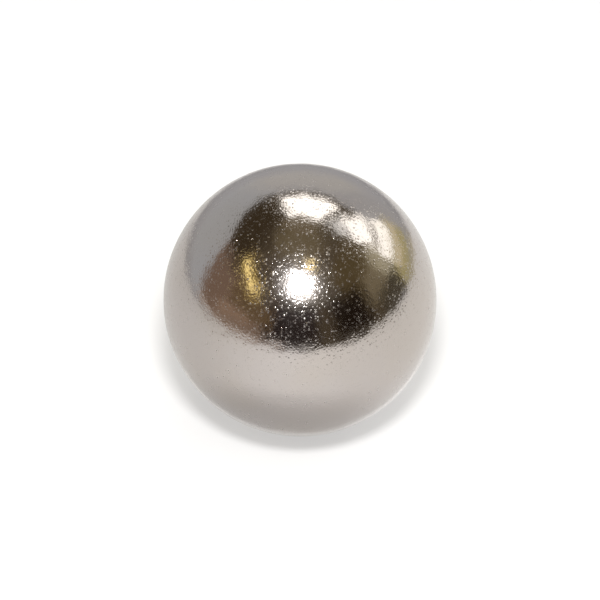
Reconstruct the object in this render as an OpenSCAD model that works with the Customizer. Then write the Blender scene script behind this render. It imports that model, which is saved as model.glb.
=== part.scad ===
// Sphere magnet
//
// One solid ball of sintered magnet with a bright nickel skin. It is the same
// all over: it has no flat, hole, seam or mark, not even at its poles.
//
// Sizes are in millimetres. The origin is the centre of the ball, and +Z runs
// along the magnetisation, from the lower pole to the upper one.

/* [Ball] */
// Diameter of the ball, measured over the plating
ball_d = 5; // [3:0.5:25]

/* [Drawing] */
// Facets round the ball where it is drawn as a mesh
ball_facets = 96; // [24:8:256]

/* [Hidden] */

// Bright nickel, a little warmer than silver
nickel = [0.77, 0.75, 0.73];

// The plated ball, centred on the origin
module magnet_ball() {
    color(nickel)
        sphere(d = ball_d, $fn = ball_facets);
}

magnet_ball();
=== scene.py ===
"""A sphere magnet: one ball with a bright nickel skin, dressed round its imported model.

Lengths are in metres and angles in degrees. A direction is an azimuth and an elevation seen from
the centre of the ball: azimuth 0 points at the camera (-Y), azimuth 90 to the right (+X), and the
elevation is counted up from the floor.
"""

import logging
import math
from dataclasses import dataclass
from enum import Enum, IntEnum

import bmesh
import bpy
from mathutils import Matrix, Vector, noise


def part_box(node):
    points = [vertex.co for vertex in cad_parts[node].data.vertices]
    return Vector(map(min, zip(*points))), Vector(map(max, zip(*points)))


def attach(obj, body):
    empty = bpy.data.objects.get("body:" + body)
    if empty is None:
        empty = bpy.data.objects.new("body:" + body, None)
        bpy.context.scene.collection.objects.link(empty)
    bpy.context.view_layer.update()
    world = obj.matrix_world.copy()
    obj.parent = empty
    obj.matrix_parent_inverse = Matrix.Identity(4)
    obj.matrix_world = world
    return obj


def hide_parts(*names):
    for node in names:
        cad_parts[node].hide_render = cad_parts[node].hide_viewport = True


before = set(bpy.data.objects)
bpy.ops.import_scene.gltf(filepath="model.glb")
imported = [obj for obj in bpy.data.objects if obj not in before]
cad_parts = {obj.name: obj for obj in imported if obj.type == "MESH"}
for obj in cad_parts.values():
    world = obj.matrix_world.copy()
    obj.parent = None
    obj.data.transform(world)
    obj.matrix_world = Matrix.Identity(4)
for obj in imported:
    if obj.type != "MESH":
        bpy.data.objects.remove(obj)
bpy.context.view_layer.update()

MM = 0.001
BALL_NODE = "magnet_ball"
PLATING_SLOT = "nickel_plating"
BAKE_MAP = "OFBake"
HALF_TURN = 180.0

# Tiles across and up the bake map, one for each side of the cube that the ball starts from
MAP_TILES = (3, 2)

# Width of the ball in the picture, as a share of the picture's width
BALL_SHARE = 0.455

Colour = tuple[float, float, float]
Span = tuple[float, float]
Feed = bpy.types.NodeSocket | float | int | tuple[float, ...]

log = logging.getLogger("sphere_magnet")


def heading(azimuth: float, elevation: float) -> Vector:
    """Gives the unit vector that points along a direction.

    Args:
        azimuth: angle round from the camera, in degrees.
        elevation: angle up from the floor, in degrees.

    Returns:
        The unit vector.
    """
    turn, rise = math.radians(azimuth), math.radians(elevation)
    return Vector((math.sin(turn) * math.cos(rise), -math.cos(turn) * math.cos(rise), math.sin(rise)))


class MixSocket(IntEnum):
    """Places of the colour sockets on a Mix node."""

    FACTOR = 0
    FIRST = 6
    SECOND = 7
    RESULT = 2


class NodeBench:
    """A node tree, with short calls that add, set and join its nodes."""

    def __init__(self, tree: bpy.types.NodeTree) -> None:
        """Clears the tree, so that the work starts on an empty one."""
        self.tree = tree
        self.tree.nodes.clear()

    def feed(self, socket: bpy.types.NodeSocket, value: Feed) -> None:
        """Joins a socket to another one, or sets it to a plain value.

        Args:
            socket: the input to feed.
            value: an output to join it to, or the plain value.
        """
        if isinstance(value, bpy.types.NodeSocket):
            self.tree.links.new(value, socket)
        else:
            socket.default_value = value

    def add(
        self, kind: str, inputs: dict[str | int, Feed] | None = None, **settings: str | bool
    ) -> bpy.types.Node:
        """Adds one node.

        Args:
            kind: the node's Blender type, such as ShaderNodeMath.
            inputs: what each input gets, by the input's name or place.
            settings: the node's own settings, by name.

        Returns:
            The new node.
        """
        node = self.tree.nodes.new(kind)
        for name, value in settings.items():
            setattr(node, name, value)
        for name, value in (inputs or {}).items():
            self.feed(node.inputs[name], value)
        return node

    def maths(self, operation: str, *terms: Feed, clamp: bool = False) -> bpy.types.NodeSocket:
        """Works out one sum.

        Args:
            operation: the sum's name, such as MULTIPLY.
            terms: its terms, in order.
            clamp: whether the result is held between 0 and 1.

        Returns:
            The socket that holds the result.
        """
        node = self.add("ShaderNodeMath", dict(enumerate(terms)), operation=operation, use_clamp=clamp)
        return node.outputs["Value"]

    def smooth_step(self, value: Feed, start: Feed, end: Feed) -> bpy.types.NodeSocket:
        """Rises smoothly from 0 to 1.

        Args:
            value: what is measured.
            start: the value at which the step leaves 0.
            end: the value at which the step reaches 1.

        Returns:
            The socket that holds the step.
        """
        inputs = {"Value": value, "From Min": start, "From Max": end}
        node = self.add("ShaderNodeMapRange", inputs, interpolation_type="SMOOTHSTEP")
        return node.outputs["Result"]

    def mix(self, factor: Feed, first: Feed, second: Feed) -> bpy.types.NodeSocket:
        """Blends two colours.

        Args:
            factor: share of the second colour, from 0 to 1.
            first: colour at factor 0, as a socket or as four numbers.
            second: colour at factor 1, likewise.

        Returns:
            The socket that holds the blend.
        """
        inputs = {MixSocket.FACTOR: factor, MixSocket.FIRST: first, MixSocket.SECOND: second}
        node = self.add("ShaderNodeMix", inputs, data_type="RGBA")
        return node.outputs[MixSocket.RESULT]

    def group_socket(self, name: str, is_input: bool = True) -> None:
        """Gives a node group one more number socket."""
        way = "INPUT" if is_input else "OUTPUT"
        self.tree.interface.new_socket(name=name, in_out=way, socket_type="NodeSocketFloat")


def opaque(colour: Colour, strength: float = 1.0) -> tuple[float, float, float, float]:
    """Gives a colour times a strength, with full alpha, as a colour socket takes it."""
    red, green, blue = colour
    return (red * strength, green * strength, blue * strength, 1.0)


@dataclass(frozen=True)
class StudioPanel:
    """One area of the studio, bright or dark, as the ball sees it.

    Attributes:
        name: what the area is.
        azimuth: direction of its middle, round from the camera.
        elevation: direction of its middle, up from the floor.
        half_width: half of its span in azimuth.
        half_height: half of its span in elevation.
        colour: its colour.
        strength: its brightness, where 1 is white paper.
        slant: degrees of elevation that it climbs for each degree of azimuth.
        lean: degrees of azimuth that it leans for each degree of elevation.
        softness: width of its soft edge.
    """

    name: str
    azimuth: float
    elevation: float
    half_width: float
    half_height: float
    colour: Colour
    strength: float = 1.0
    slant: float = 0.0
    lean: float = 0.0
    softness: float = 4.0


DARK_OLIVE: Colour = (0.095, 0.072, 0.044)
WARM_WHITE: Colour = (1.0, 0.98, 0.92)

PANELS = (
    StudioPanel("ceiling", 0.0, 84.0, 180.0, 12.0, (0.185, 0.145, 0.08), softness=16.0),
    StudioPanel("wall far left", -122.0, 50.0, 36.0, 16.0, (0.055, 0.038, 0.019), softness=14.0),
    StudioPanel("ceiling back", 180.0, 76.0, 40.0, 9.0, (0.21, 0.165, 0.10), softness=14.0),
    StudioPanel("wall right", 75.0, 40.0, 34.0, 20.0, (0.115, 0.083, 0.036), softness=14.0),
    StudioPanel("shelf right", 85.0, 24.0, 19.0, 12.0, (0.25, 0.205, 0.13), softness=8.0, lean=0.35),
    StudioPanel("shelf lit side", 101.0, 26.0, 9.0, 12.0, (0.54, 0.49, 0.34), softness=12.0),
    StudioPanel("gap under shelf", 90.0, 7.0, 14.0, 10.0, (0.080, 0.067, 0.045), softness=8.0),
    StudioPanel("doorway", -8.0, 16.0, 24.0, 18.0, (0.026, 0.018, 0.016), softness=14.0),
    StudioPanel("cupboard", 47.0, 18.0, 18.0, 17.0, (0.014, 0.008, 0.004), softness=16.0),
    StudioPanel("wall left", -82.0, 15.0, 32.0, 20.0, (0.24, 0.16, 0.115), softness=10.0, lean=-0.5),
    StudioPanel("wall low left", -52.0, 5.0, 20.0, 11.0, (0.26, 0.18, 0.13), softness=7.0),
    StudioPanel("chair arm", -59.0, 12.5, 17.0, 4.0, (0.37, 0.25, 0.175), softness=6.0, slant=0.15),
    StudioPanel("brown chair", -47.0, 24.5, 22.0, 8.5, (0.16, 0.105, 0.052), softness=8.0, slant=-0.20),
    StudioPanel("brass shade rim", -64.0, 42.0, 20.0, 5.5, (0.40, 0.26, 0.06), slant=-0.34, softness=6.0),
    StudioPanel("brass shade", -64.5, 42.0, 18.5, 2.4, (1.0, 0.79, 0.32), 2.2, slant=-0.38, softness=2.5),
    StudioPanel("lamp glow", 21.0, 67.5, 9.0, 3.2, (1.0, 0.80, 0.38), 2.6, softness=4.0),
    StudioPanel("back sweep left", -150.0, 8.0, 52.0, 27.0, (0.52, 0.535, 0.55), lean=-0.55, softness=4.0),
    StudioPanel("back sweep right", 162.0, 8.0, 32.0, 27.0, (0.50, 0.50, 0.51), softness=4.0),
    StudioPanel("back sweep middle", 178.0, 16.0, 20.0, 14.0, (0.60, 0.59, 0.56), softness=16.0),
    StudioPanel("roof light", 171.5, 54.0, 24.0, 12.0, WARM_WHITE, 2.6, softness=2.5),
    StudioPanel("pale blind", 126.0, 54.0, 12.0, 7.5, (1.0, 1.0, 0.96), 1.1, softness=5.0),
    StudioPanel("window upper pane", 121.5, 40.8, 15.0, 9.0, WARM_WHITE, 2.2, softness=2.0),
    StudioPanel("window lower pane", 120.0, 21.2, 14.5, 6.4, WARM_WHITE, 2.0, softness=2.5),
    StudioPanel("green curtain", 121.0, 3.0, 17.0, 12.0, (0.52, 0.46, 0.21), softness=6.0),
    StudioPanel("curtain lit top", 123.0, 9.0, 15.0, 3.5, (0.88, 0.77, 0.53), softness=5.0),
    StudioPanel("table edge left", -55.0, 0.5, 42.0, 1.6, (0.62, 0.53, 0.47), softness=2.0),
)


def build_panel_group() -> bpy.types.NodeTree:
    """Makes the node group that masks one studio panel.

    Returns:
        The node group. Its inputs are angles in degrees, and its output is 1 inside the panel.
    """
    tree = bpy.data.node_groups.new("studio_panel_mask", "ShaderNodeTree")
    bench = NodeBench(tree)
    for name in ("Azimuth", "Elevation", "Centre Azimuth", "Centre Elevation", "Half Width",
                 "Half Height", "Slant", "Lean", "Softness"):
        bench.group_socket(name)
    bench.group_socket("Mask", is_input=False)
    given = bench.add("NodeGroupInput").outputs
    from_centre = bench.maths("SUBTRACT", given["Azimuth"], given["Centre Azimuth"])
    across = bench.maths("WRAP", from_centre, HALF_TURN, -HALF_TURN)
    above = bench.maths("SUBTRACT", given["Elevation"], given["Centre Elevation"])
    leaned = bench.maths("SUBTRACT", across, bench.maths("MULTIPLY", above, given["Lean"]))
    slanted = bench.maths("SUBTRACT", above, bench.maths("MULTIPLY", across, given["Slant"]))
    half_soft = bench.maths("MULTIPLY", given["Softness"], 0.5)
    minus_half_soft = bench.maths("MULTIPLY", given["Softness"], -0.5)
    sides = []
    for offset, reach in ((leaned, given["Half Width"]), (slanted, given["Half Height"])):
        inside_by = bench.maths("SUBTRACT", reach, bench.maths("ABSOLUTE", offset))
        sides.append(bench.smooth_step(inside_by, minus_half_soft, half_soft))
    mask = bench.maths("MULTIPLY", *sides)
    bench.add("NodeGroupOutput", {"Mask": mask})
    return tree


@dataclass
class Studio:
    """The room round the ball, which shows in its mirror skin and softly lights the floor.

    Attributes:
        room: colour of the room where no panel covers it.
        panels: the areas of the room, each over the ones before it.
        backdrop: what the camera sees past the floor.
    """

    room: Colour = DARK_OLIVE
    panels: tuple[StudioPanel, ...] = PANELS
    backdrop: Colour = (1.0, 1.0, 1.0)

    def build(self) -> None:
        """Builds the world and gives it to the scene."""
        world = bpy.data.worlds.new("studio")
        world.use_nodes = True
        bench = NodeBench(world.node_tree)
        room = self._paint_room(bench)
        rays = bench.add("ShaderNodeLightPath").outputs
        seen = bench.mix(rays["Is Camera Ray"], room, opaque(self.backdrop))
        background = bench.add("ShaderNodeBackground", {"Color": seen})
        bench.add("ShaderNodeOutputWorld", {"Surface": background.outputs["Background"]})
        bpy.context.scene.world = world

    def _paint_room(self, bench: NodeBench) -> bpy.types.NodeSocket:
        """Lays the panels over the room.

        Args:
            bench: the world's node tree.

        Returns:
            The socket that holds the room's colour along the ray.
        """
        ray = bench.add("ShaderNodeTexCoord").outputs["Generated"]
        axes = bench.add("ShaderNodeSeparateXYZ", {"Vector": ray}).outputs
        towards_camera = bench.maths("MULTIPLY", axes["Y"], -1.0)
        turn = bench.maths("ARCTAN2", axes["X"], towards_camera)
        azimuth = bench.maths("DEGREES", turn)
        elevation = bench.maths("DEGREES", bench.maths("ARCSINE", axes["Z"]))
        mask_group = build_panel_group()
        colour = opaque(self.room)
        for panel in self.panels:
            inputs = {
                "Azimuth": azimuth,
                "Elevation": elevation,
                "Centre Azimuth": panel.azimuth,
                "Centre Elevation": panel.elevation,
                "Half Width": panel.half_width,
                "Half Height": panel.half_height,
                "Slant": panel.slant,
                "Lean": panel.lean,
                "Softness": panel.softness,
            }
            placed = bench.tree.nodes.new("ShaderNodeGroup")
            placed.node_tree = mask_group
            placed.label = panel.name
            for name, value in inputs.items():
                bench.feed(placed.inputs[name], value)
            colour = bench.mix(placed.outputs["Mask"], colour, opaque(panel.colour, panel.strength))
        return colour


@dataclass(frozen=True)
class StudioLamp:
    """One round soft lamp.

    Attributes:
        name: what the lamp is.
        azimuth: direction of the lamp, round from the camera.
        elevation: direction of the lamp, up from the floor.
        spread: angle that the lamp spans, seen from the ball.
        power: light on a surface that faces the lamp, in watts for each square metre.
        in_mirrors: whether the lamp itself shows in mirrors.
        on_matt: whether it lights matt things, such as the paper.
        distance: distance from the ball, in radii of the ball, or 0 for a lamp that is far away.
    """

    name: str
    azimuth: float
    elevation: float
    spread: float
    power: float
    in_mirrors: bool = True
    on_matt: bool = True
    distance: float = 0.0

    def build(self, centre: Vector, radius: float) -> bpy.types.Object:
        """Adds the lamp to the scene.

        Args:
            centre: the ball's centre.
            radius: the ball's radius.

        Returns:
            The lamp object.
        """
        away = self.distance * radius
        direction = heading(self.azimuth, self.elevation)
        data = self._near_light(away) if self.distance else self._far_light()
        lamp = bpy.data.objects.new(self.name, data)
        lamp.location = centre + direction * away
        lamp.rotation_mode = "QUATERNION"
        lamp.rotation_quaternion = direction.to_track_quat("Z", "Y")
        lamp.visible_glossy = self.in_mirrors
        lamp.visible_diffuse = self.on_matt
        bpy.context.scene.collection.objects.link(lamp)
        return lamp

    def _far_light(self) -> bpy.types.Light:
        """Makes the light of a lamp that is far away.

        Returns:
            The light.
        """
        data = bpy.data.lights.new(self.name, "SUN")
        data.angle = math.radians(self.spread)
        data.energy = self.power
        return data

    def _near_light(self, away: float) -> bpy.types.Light:
        """Makes the light of a lamp near the ball. Its light doesn't weaken further off.

        Args:
            away: the lamp's distance, in metres.

        Returns:
            The light.
        """
        data = bpy.data.lights.new(self.name, "POINT")
        data.shadow_soft_size = away * math.tan(math.radians(self.spread / 2))
        data.energy = self.power * 4 * math.pi * away ** 2
        data.use_nodes = True
        bench = NodeBench(data.node_tree)
        throw = bench.add("ShaderNodeLightPath").outputs["Ray Length"]
        past_ball = bench.maths("DIVIDE", throw, away)
        even = bench.maths("MULTIPLY", past_ball, past_ball)
        shine = bench.add("ShaderNodeEmission", {"Strength": even})
        bench.add("ShaderNodeOutputLight", {"Surface": shine.outputs[0]})
        return data


LAMPS = (
    StudioLamp("flash", azimuth=0.0, elevation=53.0, spread=7.0, power=3.6, on_matt=False),
    StudioLamp("key", azimuth=0.3, elevation=53.0, spread=9.0, power=3.0, in_mirrors=False,
               distance=15.5),
    StudioLamp("fill", azimuth=2.0, elevation=47.0, spread=65.0, power=1.65, in_mirrors=False),
)


@dataclass(frozen=True)
class WhitePaper:
    """Matt white paper, flat, with a painted curl far behind the ball. Distances are in radii of the ball.

    Mirrors show painted light and painted shade on the paper, and past it a painted reflection of a far
    curl with painted shade in the fold before it; the camera, which looks down on the flat part, sees
    plain white with the ball's shadow.

    Attributes:
        colour: its matt colour.
        camera_glow: brightness added for the camera, which turns the lit paper white.
        mirror_glow: brightness added in mirrors all over the paper.
        painted_front_light: painted light added in mirrors in front of the ball, beyond the ball's own
            shade.
        front_edge: distances between which that painted light sets in.
        painted_window_light: painted light added in mirrors on the paper towards the window.
        window_azimuth: direction of the window, round from the camera.
        painted_bounce_light: painted light added in mirrors right at the ball, over its own shadow.
        near_bow: how much the front edge of that painted light bows back to the sides.
        near_edge: distances in front of the ball between which it fades.
        near_fade: distances all round between which it fades.
        shade: painted shade, the darker colour that mirrors see on the paper in front of the ball.
        shade_azimuth: direction of that painted shade, round from the camera.
        shade_at: distance of its middle from the ball.
        shade_edge: distances from its middle between which it fades.
        curl: colour of the painted reflection of the curled paper.
        fold: colour of the painted shade in the fold before the curl.
        fold_at: distance from the ball to the fold, straight behind the ball.
        fold_bend: how far the fold runs off to the sides; a smaller number is further.
        fold_edge: shares of that distance between which the fold sets in.
        curl_edge: shares of that distance between which the fold turns into the curl.
        curtain: colour of the fold on the curtain's side, a painted reflection of the green curtain.
        curtain_turn: direction of that stretch, round from straight behind the ball.
        curtain_edge: angles off that direction between which it fades.
        least_away: distance from the ball below which no direction is told from another.
    """

    colour: Colour = (0.455, 0.455, 0.455)
    camera_glow: float = 0.395
    mirror_glow: float = 0.085
    painted_front_light: float = 0.21
    front_edge: Span = (1.0, 2.2)
    painted_window_light: float = 0.17
    window_azimuth: float = 120.0
    painted_bounce_light: float = 0.40
    near_bow: float = 0.53
    near_edge: Span = (0.45, 0.78)
    near_fade: Span = (0.6, 1.5)
    # Painted shade that mirrors see on the paper in front of the ball.
    shade: Colour = (0.35, 0.35, 0.35)
    shade_azimuth: float = -17.0
    shade_at: float = 0.84
    shade_edge: Span = (0.3, 1.5)
    # Painted reflection of the far curl, painted shade in its fold, and the green curtain's painted
    # reflection.
    curl: Colour = (0.48, 0.48, 0.49)
    fold: Colour = (0.38, 0.375, 0.38)
    fold_at: float = 5.0
    fold_bend: float = 19.0
    fold_edge: Span = (0.7, 1.1)
    curl_edge: Span = (1.2, 2.0)
    curtain: Colour = (0.52, 0.46, 0.29)
    curtain_turn: float = 56.0
    curtain_edge: Span = (8.4, 19.6)
    least_away: float = 0.1

    def build(self, unit: float) -> bpy.types.Material:
        """Makes the material.

        Args:
            unit: radius of the ball.

        Returns:
            The material.
        """
        material = bpy.data.materials.new("white_paper")
        material.use_nodes = True
        material.cycles.emission_sampling = "NONE"
        bench = NodeBench(material.node_tree)
        place = bench.add("ShaderNodeTexCoord").outputs["Object"]
        axes = bench.add("ShaderNodeSeparateXYZ", {"Vector": place}).outputs
        right = bench.maths("DIVIDE", axes["X"], unit)
        behind = bench.maths("DIVIDE", axes["Y"], unit)
        away = self._distance(bench, right, behind)
        rays = bench.add("ShaderNodeLightPath").outputs
        mirrors = bench.maths("ADD", rays["Is Glossy Ray"], rays["Is Transmission Ray"], clamp=True)
        in_camera = bench.maths("MULTIPLY", rays["Is Camera Ray"], self.camera_glow)
        # Mirrors see an even glow on the paper plus painted light in front of the ball, towards the window
        # and right at the ball.
        in_mirrors = bench.maths("MULTIPLY", mirrors, self._mirror_glow_and_painted_light(bench, right, behind, away))
        # Painted shade: mirrors see a darker matt colour on the paper in front of the ball.
        painted_shade_share = bench.maths("MULTIPLY", self._painted_shade_share(bench, right, behind), mirrors)
        matt = bench.mix(painted_shade_share, opaque(self.colour), opaque(self.shade))
        paper = bench.add("ShaderNodeBsdfDiffuse", {"Color": matt})
        shine = bench.add("ShaderNodeEmission", {"Strength": bench.maths("ADD", in_camera, in_mirrors)})
        flat = bench.add("ShaderNodeAddShader", {0: paper.outputs[0], 1: shine.outputs[0]})
        # Painted reflection: past the fold, mirrors see a painted grey curl, painted shade in the fold and
        # the green curtain's painted reflection.
        share, colour = self._painted_curl(bench, right, behind, away)
        painted_curl_shader = bench.add("ShaderNodeEmission", {"Color": colour})
        share = bench.maths("MULTIPLY", share, mirrors)
        surface = bench.add("ShaderNodeMixShader", {0: share, 1: flat.outputs[0], 2: painted_curl_shader.outputs[0]})
        bench.add("ShaderNodeOutputMaterial", {"Surface": surface.outputs[0]})
        return material

    def _distance(self, bench: NodeBench, right: Feed, behind: Feed) -> bpy.types.NodeSocket:
        """Works out how far off a point is that lies so far right and so far behind."""
        squares = bench.maths("MULTIPLY_ADD", right, right, bench.maths("MULTIPLY", behind, behind))
        return bench.maths("SQRT", squares)

    def _painted_shade_share(self, bench: NodeBench, right: Feed, behind: Feed) -> bpy.types.NodeSocket:
        """Works out the share of painted shade that mirrors see on the paper.

        Args:
            bench: the material's node tree.
            right: how far to the right of the ball the point is.
            behind: how far behind the ball it is.

        Returns:
            The socket that holds the share of the painted shade colour.
        """
        middle = heading(self.shade_azimuth, 0.0) * self.shade_at
        off_right = bench.maths("SUBTRACT", right, middle.x)
        off_behind = bench.maths("SUBTRACT", behind, middle.y)
        past = bench.smooth_step(self._distance(bench, off_right, off_behind), *self.shade_edge)
        return bench.maths("SUBTRACT", 1.0, past)

    def _mirror_glow_and_painted_light(
        self, bench: NodeBench, right: Feed, behind: Feed, away: Feed
    ) -> bpy.types.NodeSocket:
        """Works out the brightness that mirrors see added to the lit paper: an even glow, and painted
        light in front of the ball, towards the window and right at the ball.

        Args:
            bench: the material's node tree.
            right: how far to the right of the ball the point is.
            behind: how far behind the ball it is.
            away: how far from the ball it is.

        Returns:
            The socket that holds the added glow and painted light.
        """
        reach = bench.maths("MAXIMUM", away, self.least_away)
        # Painted light on the paper towards the window, seen only in mirrors.
        window = heading(self.window_azimuth, 0.0)
        sideways = bench.maths("MULTIPLY_ADD", behind, window.y, bench.maths("MULTIPLY", right, window.x))
        painted_window_mask = bench.maths("MAXIMUM", bench.maths("DIVIDE", sideways, reach), 0.0)
        frontness = bench.maths("MINIMUM", bench.maths("DIVIDE", behind, reach), 0.0)
        # Painted light on the paper in front of the ball, past its own shade, seen only in mirrors.
        front = bench.maths("MULTIPLY", frontness, frontness)
        painted_front_mask = bench.maths("MULTIPLY", front, bench.smooth_step(away, *self.front_edge))
        # Painted light right at the ball, over its own shadow, seen only in mirrors.
        bow = bench.maths("MULTIPLY", bench.maths("MULTIPLY", right, right), self.near_bow)
        ahead = bench.smooth_step(bench.maths("SUBTRACT", bow, behind), *self.near_edge)
        near = bench.maths("SUBTRACT", 1.0, bench.smooth_step(away, *self.near_fade))
        close = bench.maths("MULTIPLY", bench.maths("SUBTRACT", 1.0, ahead), near)
        glow = bench.maths("MULTIPLY_ADD", painted_front_mask, self.painted_front_light, self.mirror_glow)
        glow = bench.maths("MULTIPLY_ADD", painted_window_mask, self.painted_window_light, glow)
        return bench.maths("MULTIPLY_ADD", close, self.painted_bounce_light, glow)

    def _painted_curl(
        self, bench: NodeBench, right: Feed, behind: Feed, away: Feed
    ) -> tuple[bpy.types.NodeSocket, bpy.types.NodeSocket]:
        """Paints the far curl of paper behind the ball, which only mirrors see: a painted reflection, with
        painted shade in the fold before it.

        Args:
            bench: the material's node tree.
            right: how far to the right of the ball the point is.
            behind: how far behind the ball it is.
            away: how far from the ball it is.

        Returns:
            The share of the painted curl at the point, and its painted colour there.
        """
        turn = bench.maths("DEGREES", bench.maths("ARCTAN2", right, behind))
        bend = bench.maths("DIVIDE", turn, self.fold_bend)
        fold_at = bench.maths("MULTIPLY_ADD", bend, bend, self.fold_at)
        past = bench.maths("DIVIDE", away, fold_at)
        share = bench.smooth_step(past, *self.fold_edge)
        # The green curtain's painted reflection in the fold.
        off_curtain = bench.maths("ABSOLUTE", bench.maths("SUBTRACT", turn, self.curtain_turn))
        grey = bench.smooth_step(off_curtain, *self.curtain_edge)
        fold = bench.mix(grey, opaque(self.curtain), opaque(self.fold))
        colour = bench.mix(bench.smooth_step(past, *self.curl_edge), fold, opaque(self.curl))
        return share, colour


@dataclass
class StudioFloor:
    """The paper-covered table top that the ball lies on.

    Attributes:
        height: level of the floor.
        unit: radius of the ball, which the distances below are measured in.
        reach: radius of the round floor.
        shift: how far the middle of the floor is from the ball.
        shift_azimuth: direction of that middle, round from the camera.
        corners: number of corners round its edge.
        paper: the finish.
    """

    height: float
    unit: float
    reach: float = 62.0
    shift: float = 30.0
    shift_azimuth: float = -135.0
    corners: int = 64
    paper: WhitePaper = WhitePaper()

    def build(self) -> bpy.types.Object:
        """Adds the floor to the scene as its stage.

        Returns:
            The floor object.
        """
        bm = bmesh.new()
        bmesh.ops.create_circle(bm, cap_ends=True, segments=self.corners, radius=self.reach * self.unit)
        middle = heading(self.shift_azimuth, 0.0) * self.shift * self.unit
        bmesh.ops.translate(bm, verts=bm.verts[:], vec=(middle.x, middle.y, self.height))
        mesh = bpy.data.meshes.new("floor")
        bm.to_mesh(mesh)
        bm.free()
        mesh.materials.append(self.paper.build(self.unit))
        floor = bpy.data.objects.new("floor", mesh)
        bpy.context.scene.collection.objects.link(floor)
        return floor


@dataclass(frozen=True)
class NickelPlating:
    """Bright nickel over a tumbled core: a mirror with fine nodules, grain and a faint haze.

    Attributes:
        colour: the metal's own colour.
        warm_colour: its colour where the plating has a warmer cast.
        cast_size: size of a patch of warmer cast.
        cast_layers: number of finer layers in those patches.
        cast_edge: patch values between which the warmer cast sets in.
        roughness: roughness of clean plating.
        haze: how much rougher the haziest plating is.
        haze_size: size of a patch of haze.
        haze_layers: number of finer layers in those patches.
        haze_edge: patch values between which the haze sets in.
        nodule_spacing: distance from one nodule to the next.
        nodule_radius: radius of a nodule, as a share of that distance.
        nodule_height: height of the tallest nodule.
        nodule_rarity: how rare tall nodules are, where 1 makes every height as common.
        nodule_haze: how much rougher the tallest nodules are.
        nodule_foot: share of a nodule's rise over which its own haze sets in.
        grain_size: size of the fine grain between the nodules.
        grain_layers: number of finer layers in that grain.
        grain_height: height of that grain.
    """

    colour: Colour = (0.56, 0.52, 0.50)
    warm_colour: Colour = (0.555, 0.51, 0.475)
    cast_size: float = 1.6 * MM
    cast_layers: float = 2.0
    cast_edge: Span = (0.35, 0.65)
    roughness: float = 0.135
    haze: float = 0.02
    haze_size: float = 0.5 * MM
    haze_layers: float = 3.0
    haze_edge: Span = (0.4, 0.7)
    nodule_spacing: float = 0.040 * MM
    nodule_radius: float = 0.62
    nodule_height: float = 0.0026 * MM
    nodule_rarity: float = 3.1
    nodule_haze: float = 0.14
    nodule_foot: float = 0.3
    grain_size: float = 0.04 * MM
    grain_layers: float = 1.0
    grain_height: float = 0.0016 * MM

    def build(self) -> bpy.types.Material:
        """Makes the material.

        Returns:
            The material.
        """
        material = bpy.data.materials.new(PLATING_SLOT)
        material.use_nodes = True
        bench = NodeBench(material.node_tree)
        place = bench.add("ShaderNodeTexCoord").outputs["Object"]
        nodules, tall = self._nodules(bench, place)
        inputs = {
            "Base Color": self._colour(bench, place),
            "Metallic": 1.0,
            "Roughness": self._roughness(bench, place, tall),
            "Normal": self._normal(bench, place, nodules),
        }
        metal = bench.add("ShaderNodeBsdfPrincipled", inputs)
        bench.add("ShaderNodeOutputMaterial", {"Surface": metal.outputs["BSDF"]})
        return material

    def _noise(self, bench: NodeBench, place: Feed, size: float, layers: float) -> bpy.types.NodeSocket:
        """Makes smooth random patches.

        Args:
            bench: the material's node tree.
            place: the point on the ball.
            size: size of a patch.
            layers: number of finer layers on top.

        Returns:
            The socket that holds the patches, from 0 to 1.
        """
        inputs = {"Vector": place, "Scale": 1.0 / size, "Detail": layers}
        return bench.add("ShaderNodeTexNoise", inputs).outputs["Fac"]

    def _colour(self, bench: NodeBench, place: Feed) -> bpy.types.NodeSocket:
        """Lets the plating's cast drift between its two colours.

        Args:
            bench: the material's node tree.
            place: the point on the ball.

        Returns:
            The socket that holds the colour.
        """
        patches = self._noise(bench, place, self.cast_size, self.cast_layers)
        share = bench.smooth_step(patches, *self.cast_edge)
        return bench.mix(share, opaque(self.colour), opaque(self.warm_colour))

    def _nodules(
        self, bench: NodeBench, place: Feed
    ) -> tuple[bpy.types.NodeSocket, bpy.types.NodeSocket]:
        """Scatters the nodules.

        Args:
            bench: the material's node tree.
            place: the point on the ball.

        Returns:
            The height at the point as a share of the tallest nodule, and how tall its nodule is.
        """
        cells = bench.add("ShaderNodeTexVoronoi", {"Vector": place, "Scale": 1.0 / self.nodule_spacing})
        reach = bench.maths("DIVIDE", cells.outputs["Distance"], self.nodule_radius)
        fall = bench.maths("MULTIPLY", reach, reach)
        rise = bench.maths("SUBTRACT", 1.0, fall, clamp=True)
        dome = bench.maths("MULTIPLY", rise, rise)
        chance = bench.add("ShaderNodeSeparateColor", {"Color": cells.outputs["Color"]}).outputs["Red"]
        size = bench.maths("POWER", chance, self.nodule_rarity)
        tall = bench.maths("MULTIPLY", size, bench.smooth_step(rise, 0.0, self.nodule_foot))
        return bench.maths("MULTIPLY", dome, size), tall

    def _roughness(self, bench: NodeBench, place: Feed, tall: Feed) -> bpy.types.NodeSocket:
        """Adds patches of haze, and hazier nodules, to the clean plating's roughness.

        Args:
            bench: the material's node tree.
            place: the point on the ball.
            tall: how tall the nodule at the point is.

        Returns:
            The socket that holds the roughness.
        """
        patches = self._noise(bench, place, self.haze_size, self.haze_layers)
        share = bench.smooth_step(patches, *self.haze_edge)
        hazy = bench.maths("MULTIPLY_ADD", share, self.haze, self.roughness)
        return bench.maths("MULTIPLY_ADD", tall, self.nodule_haze, hazy)

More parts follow.
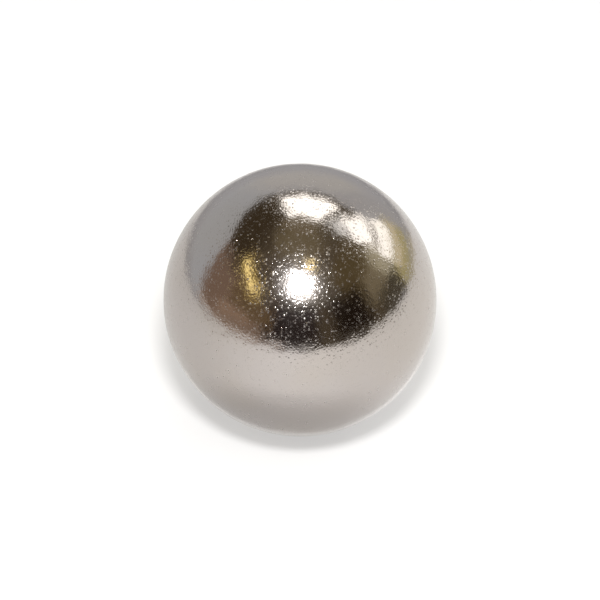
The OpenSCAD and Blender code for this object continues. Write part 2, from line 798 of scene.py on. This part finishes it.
    def _normal(self, bench: NodeBench, place: Feed, nodules: Feed) -> bpy.types.NodeSocket:
        """Raises the nodules and the grain between them.

        Args:
            bench: the material's node tree.
            place: the point on the ball.
            nodules: height of the nodules, as a share of the tallest one.

        Returns:
            The socket that holds the normal.
        """
        grain = self._noise(bench, place, self.grain_size, self.grain_layers)
        height = bench.maths("MULTIPLY_ADD", grain, self.grain_height / self.nodule_height, nodules)
        bump = bench.add("ShaderNodeBump", {"Height": height, "Distance": self.nodule_height})
        return bump.outputs["Normal"]


class CubeSide(Enum):
    """The six sides of the cube that the ball's mesh starts from: normal, and place on the bake map."""

    RIGHT = ((1, 0, 0), (0, 0))
    BACK = ((0, 1, 0), (1, 0))
    TOP = ((0, 0, 1), (2, 0))
    LEFT = ((-1, 0, 0), (0, 1))
    FRONT = ((0, -1, 0), (1, 1))
    UNDER = ((0, 0, -1), (2, 1))

    @classmethod
    def facing(cls, normal: Vector) -> "CubeSide":
        """Finds the side that a normal belongs to."""
        return max(cls, key=lambda side: normal.dot(Vector(side.value[0])))

    def on_map(self, corner: Vector, margin: float) -> tuple[float, float]:
        """Places a point of this side on the bake map.

        Args:
            corner: the point, on a cube that reaches from -1 to 1.
            margin: share of each tile that is left free round the side.

        Returns:
            The point's U and V.
        """
        normal, tile = Vector(self.value[0]), self.value[1]
        along = Vector((0, 0, 1)) if abs(normal.z) < 0.5 else Vector((0, 1, 0))
        across = along.cross(normal)
        inner = 0.5 - margin
        u = (tile[0] + 0.5 + inner * corner.dot(across)) / MAP_TILES[0]
        v = (tile[1] + 0.5 + inner * corner.dot(along)) / MAP_TILES[1]
        return (u, v)


@dataclass
class MagnetBall:
    """The plated ball.

    Attributes:
        centre: centre of the ball.
        radius: radius over the plating.
        cells: mesh cells along each edge of the cube that is blown up into the ball.
        wave_size: distance from one low swell of the skin to the next.
        wave_height: height of the swells.
        map_margin: share of each bake tile that stays free.
        plating: the finish.
    """

    centre: Vector
    radius: float
    cells: int = 128
    wave_size: float = 0.19 * MM
    wave_height: float = 0.0022 * MM
    map_margin: float = 0.03
    plating: NickelPlating = NickelPlating()

    def build(self) -> bpy.types.Object:
        """Builds the ball in place of its plain solid.

        Returns:
            The ball object.
        """
        ball = bpy.data.objects.new("plated_ball", self._mesh())
        bpy.context.scene.collection.objects.link(ball)
        ball.data.materials.append(self.plating.build())
        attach(ball, "root")
        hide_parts(BALL_NODE)
        return ball

    def _mesh(self) -> bpy.types.Mesh:
        """Blows a gridded cube up into the ball and raises its skin.

        Returns:
            The mesh, with the bake map.
        """
        bm = bmesh.new()
        bmesh.ops.create_cube(bm, size=2.0)
        bmesh.ops.subdivide_edges(bm, edges=bm.edges[:], cuts=self.cells - 1, use_grid_fill=True)
        bm.normal_update()
        bake_map = bm.loops.layers.uv.new(BAKE_MAP)
        for face in bm.faces:
            face.smooth = True
            side = CubeSide.facing(face.normal)
            for loop in face.loops:
                loop[bake_map].uv = side.on_map(loop.vert.co, self.map_margin)
        for vert in bm.verts:
            vert.co = self._skin_point(vert.co)
        mesh = bpy.data.meshes.new("plated_ball")
        bm.to_mesh(mesh)
        bm.free()
        return mesh

    def _skin_point(self, corner: Vector) -> Vector:
        """Moves a point of the cube out to the ball's skin.

        Args:
            corner: the point, on a cube that reaches from -1 to 1.

        Returns:
            The point on the skin. Equal steps on the cube become equal angles on the ball.
        """
        ray = Vector(math.tan(part * math.pi / 4) for part in corner).normalized()
        swell = noise.noise(ray * (self.radius / self.wave_size))
        return self.centre + ray * (self.radius + swell * self.wave_height)


@dataclass
class CloseUpCamera:
    """The camera: a long lens close to the ball, looking down on it.

    Attributes:
        aim: the point that it looks at.
        distance: distance from that point.
        azimuth: direction of the camera, round from -Y.
        elevation: direction of the camera, up from the floor.
        lens: focal length, in millimetres.
        sensor: sensor width, in millimetres.
        clip_range: how many times nearer and further than its aim it still sees.
    """

    aim: Vector
    distance: float
    azimuth: float = 0.0
    elevation: float = 40.0
    lens: float = 200.0
    sensor: float = 36.0
    clip_range: float = 100.0

    @classmethod
    def filling(cls, aim: Vector, radius: float, share: float) -> "CloseUpCamera":
        """Places the camera where a ball fills a share of the square frame.

        Args:
            aim: the ball's centre.
            radius: the ball's radius.
            share: the ball's width in the picture, as a share of the picture's width.

        Returns:
            The camera, not built yet.
        """
        half_frame = cls.sensor / 2 / cls.lens
        return cls(aim, radius / math.sin(math.atan(half_frame * share)))

    def build(self) -> bpy.types.Object:
        """Adds the camera and makes it the scene's own.

        Returns:
            The camera object.
        """
        data = bpy.data.cameras.new("close_up")
        data.lens = self.lens
        data.sensor_width = self.sensor
        data.clip_start = self.distance / self.clip_range
        data.clip_end = self.distance * self.clip_range
        data.dof.use_dof = False
        camera = bpy.data.objects.new("close_up", data)
        back = heading(self.azimuth, self.elevation)
        camera.location = self.aim + back * self.distance
        camera.rotation_mode = "QUATERNION"
        camera.rotation_quaternion = back.to_track_quat("Z", "Y")
        bpy.context.scene.collection.objects.link(camera)
        bpy.context.scene.camera = camera
        return camera


def main() -> None:
    """Builds the ball and the studio round it."""
    logging.basicConfig(level=logging.INFO, format="%(name)s: %(message)s")
    low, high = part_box(BALL_NODE)
    centre = (low + high) / 2
    radius = (high.z - low.z) / 2
    ball = MagnetBall(centre, radius).build()
    log.info("built %s, %d faces", ball.name, len(ball.data.polygons))
    floor = StudioFloor(height=low.z, unit=radius).build()
    log.info("built %s as the stage", floor.name)
    for lamp in LAMPS:
        lamp.build(centre, radius)
        log.info("built the %s lamp", lamp.name)
    Studio().build()
    log.info("built the studio, %d panels", len(PANELS))
    camera = CloseUpCamera.filling(centre, radius, BALL_SHARE).build()
    log.info("built %s", camera.name)
    bpy.context.scene.view_settings.view_transform = "Standard"


if __name__ == "__main__":
    main()
